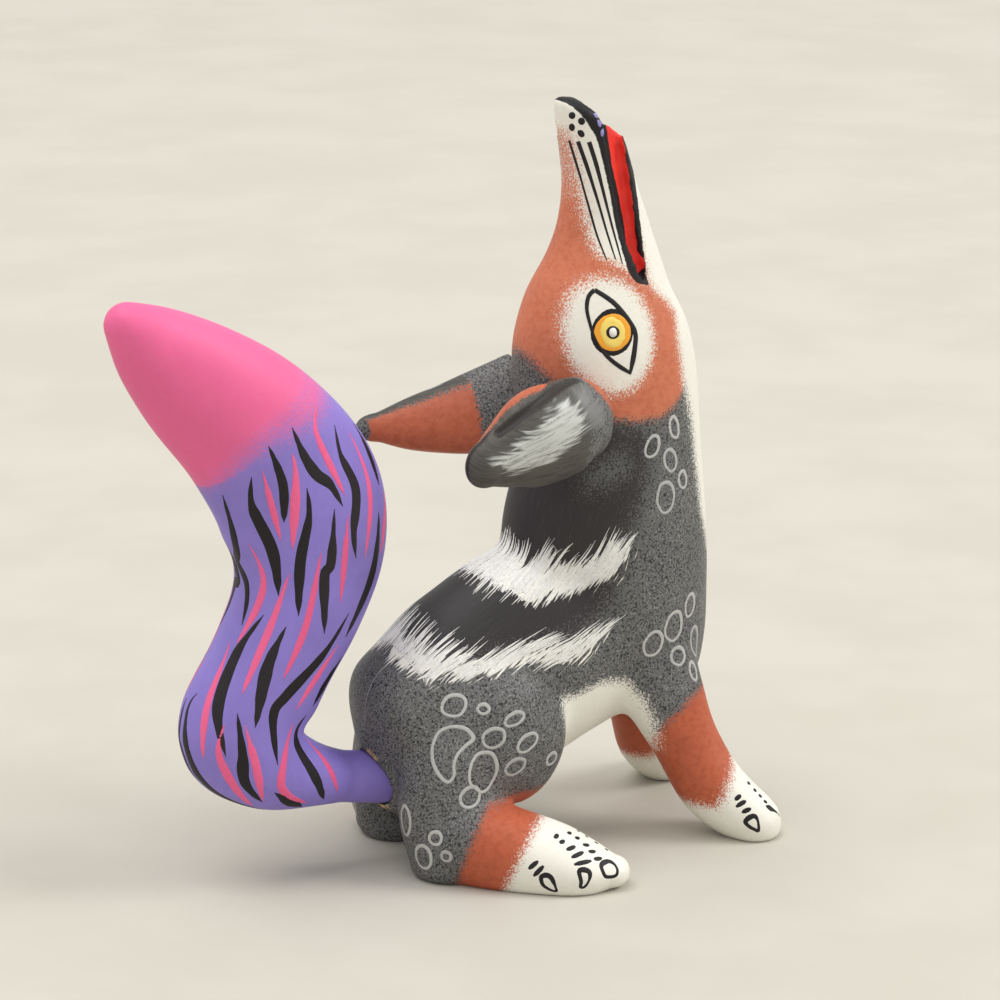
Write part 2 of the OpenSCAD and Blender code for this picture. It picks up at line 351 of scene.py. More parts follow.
# ---- materials ----
class Shader:
    """A material built from nodes, with short ways to add the usual ones."""

    def __init__(self, name, roughness, gloss=0.25):
        self.material = bpy.data.materials.new(name)
        self.material.use_nodes = True
        self.tree = self.material.node_tree
        self.tree.nodes.clear()
        self.surface = self.tree.nodes.new("ShaderNodeBsdfPrincipled")
        out = self.tree.nodes.new("ShaderNodeOutputMaterial")
        self.tree.links.new(self.surface.outputs["BSDF"], out.inputs["Surface"])
        self.surface.inputs["Roughness"].default_value = roughness
        self.surface.inputs["Specular IOR Level"].default_value = gloss
        self.place = self.tree.nodes.new("ShaderNodeTexCoord").outputs["Object"]

    def put(self, value, socket):
        if hasattr(value, "is_linked"):
            self.tree.links.new(value, socket)
        else:
            socket.default_value = value

    def math(self, kind, a, b=0.0, c=0.0):
        node = self.tree.nodes.new("ShaderNodeMath")
        node.operation = kind
        for value, socket in zip((a, b, c), node.inputs):
            self.put(value, socket)
        return node.outputs[0]

    def noise(self, size, detail=3.0, rough=0.6, place=None):
        """Noise whose blobs are about size millimetres wide."""
        node = self.tree.nodes.new("ShaderNodeTexNoise")
        self.put(place or self.place, node.inputs["Vector"])
        node.inputs["Scale"].default_value = (1.0 if place else 1 / MM) / size
        node.inputs["Detail"].default_value = detail
        node.inputs["Roughness"].default_value = rough
        return node.outputs["Fac"]

    def field(self, name):
        node = self.tree.nodes.new("ShaderNodeAttribute")
        node.attribute_name = name
        return node.outputs["Fac"]

    def brushed(self, along, across, size):
        """Noise drawn out along the brush: its blobs are size mm wide and many times as long."""
        join = self.tree.nodes.new("ShaderNodeCombineXYZ")
        self.put(self.math("MULTIPLY", self.field(along), 0.09), join.inputs[0])
        self.put(self.field(across), join.inputs[1])
        return self.noise(size, 2.0, 0.5, join.outputs[0])

    def rise(self, value, low, high):
        """0 to 1 as value goes from low to high."""
        node = self.tree.nodes.new("ShaderNodeMapRange")
        node.interpolation_type = "SMOOTHSTEP"
        self.put(value, node.inputs["Value"])
        node.inputs["From Min"].default_value = low
        node.inputs["From Max"].default_value = high
        return node.outputs["Result"]

    def edge(self, field, grain, ragged, soft):
        """Where a paint zone is: its field made ragged by grain, with an edge soft mm wide."""
        shaken = self.math("MULTIPLY_ADD", self.math("SUBTRACT", grain, 0.5), ragged, field)
        return self.rise(shaken, -soft / 2, soft / 2)

    def mix(self, under, over, share):
        node = self.tree.nodes.new("ShaderNodeMix")
        node.data_type = "RGBA"
        self.put(share, node.inputs["Factor"])
        self.put(colour(under), node.inputs["A"])
        self.put(colour(over), node.inputs["B"])
        return node.outputs["Result"]

    def shaded(self, base, grain, amount):
        """The colour a little lighter and darker with grain."""
        node = self.tree.nodes.new("ShaderNodeHueSaturation")
        self.put(colour(base), node.inputs["Color"])
        self.put(self.math("MULTIPLY_ADD", self.math("SUBTRACT", grain, 0.5), amount, 1.0),
                 node.inputs["Value"])
        return node.outputs["Color"]

    def done(self, base, bumps, deep=0.15):
        self.put(base, self.surface.inputs["Base Color"])
        bump = self.tree.nodes.new("ShaderNodeBump")
        bump.inputs["Strength"].default_value = 0.35
        bump.inputs["Distance"].default_value = deep * MM
        self.put(bumps, bump.inputs["Height"])
        self.tree.links.new(bump.outputs["Normal"], self.surface.inputs["Normal"])
        return self.material


def colour(value):
    return (*value, 1.0) if isinstance(value, tuple) and len(value) == 3 else value


GREY, DARK, BLACK = (0.125, 0.124, 0.122), (0.034, 0.03, 0.031), (0.012, 0.01, 0.011)
EARTH, EARTH_SHADE = (0.50, 0.132, 0.066), (0.41, 0.098, 0.045)
CREAM, RED, RAW_WOOD = (0.80, 0.78, 0.70), (0.80, 0.04, 0.028), (0.58, 0.40, 0.17)
PURPLE, PINK = (0.235, 0.18, 0.54), (0.74, 0.125, 0.285)


def sponged_grey(s):
    """Grey sponged with tiny darker and lighter dots."""
    light, dark = s.noise(0.36, 2.0, 0.6), s.noise(0.48, 2.0, 0.6)
    base = s.mix(GREY, (0.25, 0.25, 0.24), s.rise(light, 0.50, 0.66))
    base = s.mix(base, (0.03, 0.028, 0.03), s.rise(dark, 0.50, 0.63))
    return s.shaded(base, s.noise(14), 0.5)


def body_paint():
    s = Shader("body_paint", 0.5)
    dab, fine, broad = s.noise(1.3, 4.0, 0.7), s.noise(0.36, 3.0, 0.65), s.noise(9)
    hairs = s.brushed("along", "across", 0.5)
    base = sponged_grey(s)
    dark = s.mix(DARK, (0.045, 0.041, 0.042), s.rise(hairs, 0.52, 0.75))
    base = s.mix(base, dark, s.edge(s.field("dark"), fine, 24.0, 5.0))
    earth = s.mix(s.mix((0.465, 0.108, 0.05), (0.385, 0.082, 0.036), s.rise(dab, 0.4, 0.7)),
                  s.mix((0.575, 0.178, 0.094), EARTH, s.rise(dab, 0.4, 0.7)), s.field("high"))
    earth = s.shaded(earth, broad, 0.3)
    base = s.mix(base, earth, s.edge(s.field("earth"), fine, 8.0, 1.6))
    cream = s.shaded(CREAM, dab, 0.16)
    base = s.mix(base, cream, s.edge(s.field("band"), hairs, 13.0, 1.0))
    base = s.mix(base, cream, s.edge(s.field("white"), fine, 9.0, 2.4))
    base = s.mix(base, BLACK, s.edge(s.field("black"), dab, 0.7, 0.25))
    base = s.mix(base, s.shaded(RED, broad, 0.5), s.edge(s.field("red"), dab, 0.5, 0.25))
    base = s.mix(base, s.shaded(RAW_WOOD, dab, 0.5), s.edge(s.field("raw"), fine, 3.0, 0.3))
    return s.done(base, s.math("MULTIPLY_ADD", fine, 0.6, dab))


def tail_paint():
    s = Shader("tail_paint", 0.5)
    dab, fine, broad = s.noise(1.5, 4.0, 0.7), s.noise(0.36, 3.0, 0.65), s.noise(10)
    purple = s.shaded(PURPLE, s.math("MULTIPLY_ADD", dab, 0.4, broad), 0.35)
    pink = s.shaded(PINK, s.math("MULTIPLY_ADD", dab, 0.5, broad), 0.18)
    base = s.mix(purple, pink, s.edge(s.field("pink"), fine, 16.0, 9.0))
    base = s.mix(base, s.shaded(RAW_WOOD, dab, 0.5), s.edge(s.field("raw"), fine, 3.0, 0.3))
    return s.done(base, s.math("MULTIPLY_ADD", fine, 0.6, dab))


def ear_paint(name):
    s = Shader(name, 0.5)
    dab, fine, broad = s.noise(1.3, 4.0, 0.7), s.noise(0.45, 3.0, 0.6), s.noise(7)
    hairs = s.brushed("along", "across", 0.6)
    plain = s.mix((0.085, 0.08, 0.07), (0.05, 0.046, 0.042), s.rise(hairs, 0.4, 0.7))
    base = s.mix(sponged_grey(s), plain, s.edge(s.field("dark"), fine, 10.0, 2.0))
    base = s.mix(base, (0.19, 0.19, 0.185), s.edge(s.field("pale"), hairs, 10.0, 4.0))
    base = s.mix(base, s.shaded((0.50, 0.51, 0.48), hairs, 0.4),
                 s.edge(s.field("white"), hairs, 9.0, 2.4))
    earth = s.shaded(s.mix(EARTH, EARTH_SHADE, s.rise(dab, 0.35, 0.7)), broad, 0.3)
    base = s.mix(base, earth, s.edge(s.field("earth"), fine, 4.0, 0.8))
    # Painted shade: near-black in the right ear's fold and along its turned-over edge
    base = s.mix(base, (0.028, 0.025, 0.023), s.edge(s.field("crease"), fine, 1.5, 1.0))
    base = s.mix(base, s.shaded(RAW_WOOD, dab, 0.5), s.edge(s.field("raw"), fine, 3.0, 0.3))
    return s.done(base, s.math("MULTIPLY_ADD", fine, 0.6, dab))


def stroke_paint(name, main, thin, roughness=0.5):
    """Brushed paint that is thicker in some strokes than in others."""
    s = Shader(name, roughness)
    grain = s.noise(0.8, 3.0, 0.6)
    share = s.rise(s.math("MULTIPLY_ADD", s.field("tone"), 0.5, grain), 0.45, 1.15)
    return s.done(s.mix(main, thin, share), grain, 0.08)


# ---- the body ----
def carve_body():
    """The body with its joins softened, but its muzzle, soles and sockets left crisp."""
    wood = Wood("body", 0.635)
    crisp, fine, full = wood.smoothed(0.45), wood.smoothed(0.8), wood.smoothed(2.8)
    z = fine[:, 2]
    to_socket = np.linalg.norm(fine - np.array(TAIL_ROOT), axis=1)
    broad = (1 - ramp(z, 113, 121)) * ramp(z, 9, 20) * ramp(to_socket, 7.5, 12)
    mouth = ramp(z, 115, 119)
    wood.co = fine + (full - fine) * broad[:, None] + (crisp - fine) * mouth[:, None]
    wood.co = opened(wood.co, TAIL_ROOT, TAIL_OUT, TAIL_PEG_R, TAIL_SOCKET, 0.35)
    wood.co = opened(wood.co, RIGHT_EAR_ROOT, EAR_OUT[-1], EAR_PEG_R, EAR_SOCKET, 0.3)
    wood.co = opened(wood.co, LEFT_EAR_ROOT, EAR_OUT[1], EAR_PEG_R, EAR_SOCKET, 0.3)
    keep_in_box(wood, "body")
    return wood


def keep_in_box(wood, node):
    low, high = (np.array(c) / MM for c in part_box(node))
    wood.co = np.clip(wood.co, low, high)
    wood.finish_shape()


THROAT = [(43.7, 121.4), (45.2, 119.2), (48.6, 116.4), (50.6, 114), (50.3, 108), (51.4, 99.5),
          (53.8, 91), (57, 70), (60.5, 60), (64, 50), (66, 41), (80, 40), (80, 170), (36, 170),
          (40, 155), (41.5, 140), (42.6, 130)]
MUZZLE_WHITE = [(15, 170), (15, 152.9), (28.2, 152.9), (29, 151.1), (29.7, 146.9), (30.6, 140.7),
                (31.3, 135.6), (31.8, 130.6), (32.8, 127.7), (35, 126.4), (37.6, 124.9),
                (40.5, 123.5), (42, 121.8), (43, 125), (41, 140), (38, 155), (40, 170)]
HEAD_EARTH = [(5, 107.5), (18.7, 107.2), (19.6, 105.6), (21.3, 103.2), (23.2, 101.5), (27, 98.5),
              (31, 95.5), (34.5, 93.8), (38, 93.1), (43, 93), (45.6, 93.4), (49.3, 95.5),
              (51.5, 97.8), (60, 105), (62, 120), (50, 160), (20, 170), (5, 170)]
LIPS_EDGE = [(15, 159.2), (27.5, 159.2), (28.6, 158.6), (29.7, 157.6), (31, 155.8), (32.1, 154),
             (33.1, 152.2), (34, 149.3), (34.8, 145.8), (36, 139.7), (36.9, 133.6), (37.9, 127.7),
             (38.6, 124.1), (39.7, 122.2), (41, 121.2), (43.2, 120.6)]
BACK_DARK = [(5, 92), (30, 93), (37, 92), (42, 88), (41, 84), (40.5, 80), (38.5, 73.6), (36, 67.8),
             (34, 61.4), (33, 57), (31, 53), (26, 49.5), (20, 48), (12, 46.3), (3, 45.5), (-6, 45.5),
             (-13, 46.5), (-30, 50), (-30, 92)]
BACK_GREY = [(27.5, 82.2), (30.4, 85.3), (35.7, 87.1), (37.9, 82.6), (32.4, 79.9), (28.4, 78.9)]
BELLY_WHITE = [(20.5, 35.3), (24, 35), (30.4, 37), (37.2, 36), (41, 31.5), (43.3, 26), (44, 20),
               (36, 10), (20.5, 10)]
LEG_EARTH = [(36, 17), (40.5, 21.3), (43.5, 24.2), (45.6, 26.7), (48.3, 28.7), (50.9, 30.9),
             (54.3, 32.1), (62, 35), (76, 28), (76, 20), (63, 13), (57, 3), (54, -1), (42, 3)]
PAW_WHITE = [(50, -1), (52.6, 5.6), (53.7, 8.2), (55, 10), (56.7, 12.9), (58.9, 15.4), (60.5, 17.5),
             (70, 26), (80, 20), (80, -1)]
# The two bands of long hairs on the back. Each row is one hair, from its root over its middle to
# its tip: length along the trunk and turn from the back
LOW_BAND = [
    (1.5, 0, 6.5, 0, 13, 0), (0, 20, 4.7, 12, 13, 8), (0, 31, 6.4, 24, 13.8, 20),
    (2.1, 42, 8, 37, 19, 35), (3.9, 50, 9.6, 45, 22, 44), (7.6, 56, 14.2, 53, 24.9, 56),
    (11.8, 63, 21, 62, 34, 71), (18.9, 67, 29, 74, 37, 85), (25.1, 83, 34.2, 90, 43, 106),
    (28.7, 93, 37, 102, 45, 114), (35.5, 104, 40.7, 112, 48.7, 120)]
HIGH_BAND = [
    (30.5, 0, 42, 0, 50.5, 0), (30, 14, 42.5, 8, 50.3, 4), (29.9, 24, 43.3, 17, 49, 11),
    (31.9, 33, 43.6, 30, 51.2, 31), (34.2, 46, 45.8, 46, 56.2, 52), (40.4, 60, 48.6, 65, 60.1, 74),
    (43.9, 71, 51.3, 78, 62.3, 86), (46.7, 81, 55.6, 86, 62.6, 97), (50.6, 91, 56.4, 97, 63.1, 105)]


def mouth_paint(x, side, z):
    """Where the mouth is red, and how far its black rim goes on the jaw."""
    left = np.interp(z, [120, 122.4, 126, 129, 132.8, 138.9, 145.1, 151.2, 154],
                     [43, 41.7, 40.5, 40.3, 40.3, 39.4, 38, 37.2, 36.9])
    right = np.minimum(43.9 - 0.105 * (z - 119),
                       np.interp(z, [120.5, 122, 123.1, 126], [41.3, 41.7, 42.8, 44]))
    shallow = np.interp(z, [126, 127, 132.8, 139, 143, 146], [9.5, 7.5, 6.8, 6.7, 7.5, 12])
    red = np.minimum.reduce([x - left, right - x, shallow - side, z - 120.8, 153.6 - z])
    return red, np.interp(z, [121, 139, 143, 146], [43.45, 43.4, 43.6, 46]) - x


def hair_point(row, t):
    """Length and turn at t along a hair, 0 at its root and 1 at its tip."""
    a, b, c = np.array(row[:2]), np.array(row[2:4]), np.array(row[4:])
    return tuple(a * (1 - t) * (1 - 2 * t) + b * 4 * t * (1 - t) + c * t * (2 * t - 1))


def between(band, share):
    """The hair a share of the way through the band's rows."""
    i = min(int(share), len(band) - 2)
    return np.array(band[i]) + (np.array(band[i + 1]) - np.array(band[i])) * (share - i)


def band_core(along, turn, band, first, last):
    """Millimetres inside the part of a band where the hairs run together into white."""
    roots = [hair_point(row, first) for row in band]
    tips = [hair_point(row, last) for row in band]
    outline = [(a, t * 0.27) for a, t in roots + tips[::-1]]
    return inside(along, np.abs(turn) * 0.27, outline)


def oval(x, z, centre, radii, lean):
    """Millimetres inside an oval, about."""
    a = math.radians(lean)
    u = (x - centre[0]) * math.cos(a) + (z - centre[1]) * math.sin(a)
    v = (z - centre[1]) * math.cos(a) - (x - centre[0]) * math.sin(a)
    return (1 - np.hypot(u / radii[0], v / radii[1])) * min(radii)


def socket_wood(co, root, out, radius, depth):
    """Bare wood inside a socket."""
    rel = co - np.array(root)
    along = rel @ np.array(out)
    r = np.linalg.norm(rel - along[:, None] * np.array(out), axis=1)
    return np.where((along > -depth - 2) & (along < 9), radius + 0.75 - r, NOWHERE)


def body_fields(wood):
    x, y, z = wood.co.T
    side = np.abs(y)
    left_step = np.where((y > 0) & (z < 36), 3.8, 0.0)
    leg_x = x - left_step * np.clip((40 - z) / 20, 0, 1)
    along, turn = along_and_turn(wood.co, TRUNK, 1)
    forward = 0.784 * x + 0.62 * side
    hind = np.where((side > 11) & (x < 32), 0.0, NOWHERE)
    hind_earth = np.minimum(forward - 8 - 0.36 * z, 17 - z) + hind
    hind_white = np.minimum(forward - 18.3 - 0.45 * z, 17 - z) + hind
    band = np.maximum(band_core(along, turn, LOW_BAND, 0.24, 0.5),
                      band_core(along, turn, HIGH_BAND, 0.16, 0.62))
    belly = np.minimum(inside(x, z, BELLY_WHITE), 17.2 - side)
    whites = [inside(x, z, THROAT), inside(x, z, MUZZLE_WHITE), belly, hind_white,
              oval(x, z, (33.6, 111.2), (9.4, 11.8), 8), inside(leg_x, z, PAW_WHITE)]
    red, rim = mouth_paint(x, side, z)
    black = np.minimum(inside(x, z, LIPS_EDGE + [(60, 121), (60, 170), (15, 170)]), rim)
    raw = socket_wood(wood.co, TAIL_ROOT, TAIL_OUT, TAIL_PEG_R - 0.7, TAIL_SOCKET)
    raw = np.where(x < -15.8, NOWHERE, raw)
    for root, s in ((RIGHT_EAR_ROOT, -1), (LEFT_EAR_ROOT, 1)):
        raw = np.maximum(raw, socket_wood(wood.co, root, EAR_OUT[s], EAR_PEG_R - 0.3, EAR_SOCKET))
    for x0, y0, z0, r in CHIPS:
        raw = np.maximum(raw, r - np.linalg.norm(wood.co - np.array((x0, y0, z0)), axis=1))
    wood.fields = {
        "dark": np.minimum(inside(x, z, BACK_DARK), -inside(x, z, BACK_GREY)),
        "white": np.maximum.reduce(whites), "black": black, "red": red, "raw": raw, "band": band,
        "earth": np.maximum.reduce([inside(x, z, HEAD_EARTH), inside(leg_x, z, LEG_EARTH), hind_earth]),
        "along": along, "across": np.radians(turn) * 17, "high": np.clip(z / 20 - 2.5, 0, 1)}


# Where the wood shows at the edges of the tail's socket
CHIPS = [(-18, -2.6, 25.2, 0.9), (-17.4, -4, 24.2, 0.7), (-14.6, -1.2, 11.9, 1.0),
         (-14.8, -3.6, 12.4, 0.9), (-15.4, -5.2, 14.4, 0.8)]


def hair_strokes(paint, band, count, wide):
    """Long brush hairs that lie along the band's rows and taper out at both ends."""
    rng = paint.rng
    for i in range(count):
        hand = 1 if i % 2 else -1
        row = between(band, rng.uniform(0, len(band) - 1))
        first, last = rng.uniform(-0.05, 0.45), rng.uniform(0.5, 1.06)
        swing = rng.uniform(-2, 2)
        points = []
        for k in range(5):
            along, turn = hair_point(row, first + (last - first) * k / 4)
            points.append(around(paint.wood, TRUNK, max(along, 4), hand * (turn + swing * k / 4), 1))
        full = rng.uniform(*wide)
        paint.stroke(points, [0.1, full * 0.8, full, full * 0.7, 0.05], lift=0.05, step=1.1)


def side_point(wood, x, z, s):
    """The point of the surface seen from the side s (-1 is the right), at x and z."""
    hit, _, _, _ = wood.tree.ray_cast(Vector((x, s * 60, z)), Vector((0, -s, 0)), 60)
    return hit if hit else wood.on(Vector((x, s * 15, z)))[0]


def side_stroke(paint, points, widths, s, **how):
    paint.stroke([side_point(paint.wood, x, z, s) for x, z in points], widths, **how)


def eye(black, orange, yellow, white, s):
    """The eye on one side: nested dabs between two curved lids."""
    wood = black.wood
    centre = side_point(wood, 33.6, 112.1, s)
    black.disc(centre, (4.9, 5.0), lift=0.06)
    orange.disc(centre, (4.15, 4.1), lift=0.1)
    yellow.disc(centre, (2.9, 3.2), lift=0.14, wobble=0.06)
    black.disc(centre, (1.5, 1.45), lift=0.18)
    white.disc(centre, (0.95, 0.95), lift=0.22, wobble=0.08)
    over = [(30.9, 120.8), (34.6, 117.9), (37.8, 113.6), (38.7, 111.3), (38.3, 108.3), (37.5, 104.9),
            (37.0, 103.1)]
    under = [(37.2, 103.3), (35.2, 104.6), (33.3, 106.1), (31.4, 108.1), (29.8, 111.1), (29.0, 114.9),
             (28.9, 117.4), (29.6, 119.6), (30.9, 120.8)]
    side_stroke(black, over, [1.0, 1.1, 1.15, 1.1, 1.2, 1.3, 0.7], s, lift=0.12)
    side_stroke(black, under, [0.7, 1.0, 0.95, 0.75, 0.7, 0.7, 0.8, 0.95, 1.0], s, lift=0.12)


def snout(black, lilac, s):
    """Whiskers, the dots above them and the lilac dots on the nose, on one side."""
    for points, top in ((((29, 151), (30.2, 146), (31.7, 138.8), (33, 131.7), (34.2, 126.7)), 0.75),
                        (((30.1, 151), (31.6, 146), (33.5, 138.8), (35.1, 131.6), (36.1, 126.6)), 1.05),
                        (((31.9, 151), (33.3, 146.2), (35, 138.8), (36.5, 131.6), (37.5, 125.6)), 1.05)):
        side_stroke(black, points, [top, top * 0.95, top * 0.7, 0.56, 0.48, 0.3], s)
    for x, z, lean in ((29.0, 156.4, 30), (30.5, 155.3, -30), (29.1, 153.9, 30), (30.5, 152.7, -30)):
        black.disc(side_point(black.wood, x, z, s), (0.72, 0.85), lean * -s, wobble=0.06)
    for x, z in ((33.6, 156.4), (34.0, 154.8), (34.6, 152.8)):
        lilac.disc(side_point(lilac.wood, x, z, s), (0.5, 0.75), wobble=0.15)


# Rings on the right side: where, half width, half height and lean
RINGS = [(-4.8, 37.4, 2.6, 2.2, 20), (0.4, 36.8, 1.2, 1.0, 0), (6.3, 34.5, 2.3, 1.2, 20),
         (1.7, 30.9, 2.4, 2.0, 30), (9, 29.1, 2.6, 1.6, 25), (-0.7, 23.9, 3.1, 4.2, -12),
         (6.3, 24.2, 2.4, 1.6, 25), (15.7, 24, 1.5, 1.3, 30), (-4, 19, 2.4, 1.9, 35),
         (48.3, 90.1, 1.3, 2.4, 15), (42.3, 87, 1.6, 2.4, -25), (47.1, 83.3, 1.7, 2.5, 18),
         (50.7, 78.4, 1.3, 1.9, 10), (45.7, 75.5, 2.3, 3.4, 0),
         (52.5, 50.6, 1.6, 2.5, -10), (47.8, 47, 2.3, 3.2, -8), (42.7, 43.8, 2.2, 2.8, -15),
         (49, 40.1, 1.8, 1.9, 0), (54.6, 41.8, 1.7, 3.4, 8), (52.8, 36.2, 1.2, 2.0, 0)]
# Rings on the heel, which faces the tail: where, half width and half height
HEEL_RINGS = [(-16.5, 14.5, 13.3, 1.7, 3.2), (-11.4, 20.6, 10.8, 1.4, 1.4),
              (-13.4, 18.4, 6.2, 2.0, 2.6), (-9.9, 22.6, 7.3, 1.1, 1.1)]
# The bean-shaped ring on the thigh
KIDNEY = [(-10.2, 29.5), (-8.6, 32.2), (-6.2, 33.3), (-3.6, 33), (-2.2, 31), (-4, 29.6), (-5.9, 28),
          (-6.9, 26), (-7.1, 23.8), (-8.4, 22.5), (-9.9, 24), (-10.6, 26.7)]


def ring(paint, centre, half_w, half_h, lean, wide=0.72):
    """A hand-drawn ring that leans back by lean degrees on either side of the body."""
    place, rise, right = paint.upright(centre)
    right = right * math.copysign(1, centre.y)
    a = math.radians(lean)
    points = []
    for k in range(13):
        t = 2 * math.pi * k / 12 + 0.4
        w = 1 if k in (0, 12) else 1 + paint.rng.uniform(-0.05, 0.05)
        u, v = half_w * w * math.cos(t), half_h * w * math.sin(t)
        points.append(place + right * (u * math.cos(a) + v * math.sin(a))
                      + rise * (v * math.cos(a) - u * math.sin(a)))
    paint.stroke(points, [wide, wide * 1.25, wide, wide * 0.85, wide], step=0.5, lift=0.05)


def rings(paint):
    """All the rings, the left side's a little out of step with the right side's."""
    for s in (-1, 1):
        for x, z, half_w, half_h, lean in RINGS:
            if s > 0:
                x, z = x + paint.rng.uniform(-0.8, 0.8), z + paint.rng.uniform(-0.8, 0.8)
            ring(paint, side_point(paint.wood, x, z, s), half_w, half_h, lean)
        points = [side_point(paint.wood, x, z, s) for x, z in KIDNEY + KIDNEY[:1]]
        paint.stroke(points, [0.7, 0.7, 1.0, 0.7, 0.7, 0.9, 0.7], step=0.5, lift=0.05)
        for x, y, z, half_w, half_h in HEEL_RINGS:
            ring(paint, Vector((x, s * y, z)), half_w, half_h, 0)


# Dashes on the hind toes: from where to where, each as x, how far out to the side, and z
HIND_DASHES = [
    (9.3, 34, 11.7, 10.5, 33.2, 12.2), (9.9, 35.1, 10.9, 11.2, 34.8, 11.2),
    (10.7, 36.7, 9.8, 13, 36.3, 10.1), (11.2, 38, 8.4, 14.3, 37.5, 9), (11.3, 39, 7.2, 15.3, 39.1, 7.4),
    (12.9, 33.2, 12.2, 14.1, 32.8, 12.4), (14.1, 34.5, 11.4, 15.5, 34.1, 11.5),
    (15.1, 36, 10.1, 17, 35.7, 10.2), (15.6, 37.4, 8.9, 17.6, 37.2, 9),
    (16, 38.8, 7.5, 18.2, 38.6, 7.6), (17.3, 30.9, 12.4, 17.9, 30.5, 12.5),
    (18.6, 32.3, 11.6, 19.3, 32, 11.6), (20, 33.7, 10.4, 20.8, 33.4, 10.4),
    (21.3, 35.3, 8.8, 22.1, 35, 8.8), (3, 34.6, 6.2, 4.8, 35.4, 7.9), (3.8, 35.3, 4.7, 5.6, 36.3, 7)]
FRONT_DASHES = [
    (57.3, 25.9, 9.7, 58.8, 25.9, 10.6), (57.3, 26.4, 8.3, 59.6, 26.7, 9.4),
    (58.3, 27.2, 7.1, 60.3, 27.6, 7.8), (61.9, 23.9, 12.7, 62.8, 23.8, 12.5),
    (62.8, 25, 11.3, 63.7, 24.9, 11.1), (63.5, 25.9, 10.1, 64.4, 25.8, 9.9),
    (64.2, 26.8, 8.9, 65.1, 26.7, 8.6)]
# Claws: middle on the right paw, and the outline as places forward and up of the middle
HIND_CLAWS = [
    ((6.5, 36.9, 3.2),
     [(-1.85, 1.7), (-0.7, 2.3), (0.75, 1.45), (1.9, -2), (1, -2.2), (-0.4, -1.45), (-1.55, -0.3)]),
    ((13, 40.3, 4.3),
     [(-1.3, 1.9), (-0.2, 2.3), (1.3, 1.6), (1.3, -0.1), (0.1, -2.3), (-1, -2.3), (-0.9, -0.7)]),
    ((18.9, 40.3, 5.3),
     [(-2.1, 1.05), (-1.05, 1.9), (1.25, 2.2), (2.1, -0.1), (1.55, -1.7), (-0.2, -2), (-1.6, -1.3)])]
FRONT_CLAWS = [
    ((60.3, 28.6, 4.8),
     [(-2.1, 0.4), (-1.1, 1.45), (0.35, 1.9), (1.2, 0.6), (1.4, -2.1), (0.35, -1.7), (-1.1, -0.85)])]
# The front paw's inner claw, seen edge on, is a single stroke
LAST_CLAW = [(64, 27.4, 7.6), (65.5, 27.5, 6.9), (68.2, 26.6, 4.4)]


def claw(paint, spot, outline, s):
    """A claw's outline, thickest at its root."""
    place, rise, right = paint.upright(spot)
    loop = [place + (right * (u * -s) + rise * v) * 0.84 for u, v in outline]
    paint.stroke(loop + loop[:2], [1.0, 1.3, 1.1, 0.6, 0.7, 0.8, 0.9, 1.0, 1.3], step=0.3)


def paws(black, s):
    """Dashes and claws on the toes of one side's paws."""
    ahead = LEFT_PAW_AHEAD if s > 0 else 0.0
    for dashes, claws, dx in ((HIND_DASHES, HIND_CLAWS, 0.0), (FRONT_DASHES, FRONT_CLAWS, ahead)):
        for x, y, z, x2, y2, z2 in dashes:
            a, b = Vector((x + dx, s * y, z)), Vector((x2 + dx, s * y2, z2))
            middle = (a + b) / 2 + Vector((0, s * 0.3, 0.2))
            black.stroke([a, middle, b], [0.5, 1.1, 1.1, 0.5], step=0.3)
        for (x, y, z), outline in claws:
            claw(black, Vector((x + dx, s * y, z)), outline, s)
    last_claw = [Vector((x + ahead, s * y, z)) for x, y, z in LAST_CLAW]
    black.stroke(last_claw, [0.5, 1.6, 0.9, 0.3, 0.15], step=0.35)


# ---- the tail ----
def carve_tail():
    wood = Wood("tail", 0.6)
    fine, full = wood.smoothed(0.8), wood.smoothed(2.8)
    peg = ramp(np.linalg.norm(fine - np.array(TAIL_ROOT), axis=1), 12, 17)
    wood.co = fine + (full - fine) * peg[:, None]
    keep_in_box(wood, "tail")
    return wood


def tail_fields(wood):
    along, turn = along_and_turn(wood.co, TAIL, -1)
    edge = 105.5 - 2.1 * np.cos(np.radians(turn * 2 - 60))
    rel = (wood.co - np.array(TAIL_ROOT)) @ np.array(TAIL_OUT)
    wood.fields = {"pink": along - edge, "raw": np.where(wood.co[:, 0] > -22, -3.5 - rel, NOWHERE)}


# Stripes on the right side of the tail: length along it and turn round it, from end to end
BLACK_STRIPES = [
    (105, 72, 99, 79, 94, 80, 90, 75, 86, 71), (98, 37, 93, 50, 88, 54, 80, 64, 76, 64),
    (106, 101, 97, 111, 86, 128), (102, 130, 96, 143, 80, 141, 66, 131),
    (101, 158, 81, 170, 70, 178, 66, 167, 55, 157), (93, 95, 86, 106, 74, 119, 62, 107),
    (86, 80, 75, 90, 72, 93, 61, 74), (81, 33, 73, 38, 62, 45), (59, 138, 50, 148, 40, 146, 35, 133),
    (59, 113, 50, 111, 38, 106), (65, 55, 57, 62, 46, 82, 41, 90, 29, 92),
    (41, 173, 37, 177, 33, 170, 24, 160), (40, 127, 35, 116, 30, 131, 25, 136),
    (42, 46, 30, 55, 14, 117), (25, 115, 17, 137), (93, 14, 86, 25), (58, 30, 44, 40)]
PINK_STRIPES = [
    (104, 36, 100, 57, 88, 67), (94, 29, 87, 39, 76, 53), (101, 87, 96, 99, 80, 125),
    (102, 119, 82, 133), (82, 157, 67, 147, 51, 153), (71, 126, 56, 126, 44, 128),
    (78, 100, 61, 96, 49, 92), (84, 67, 67, 69), (51, 163, 41, 157, 35, 155), (60, 50, 43, 65),
    (37, 136, 35, 139, 25, 152), (38, 117, 25, 134), (40, 62, 25, 103, 17, 125), (21, 28, 11, 105),
    (84, 17, 76, 31)]


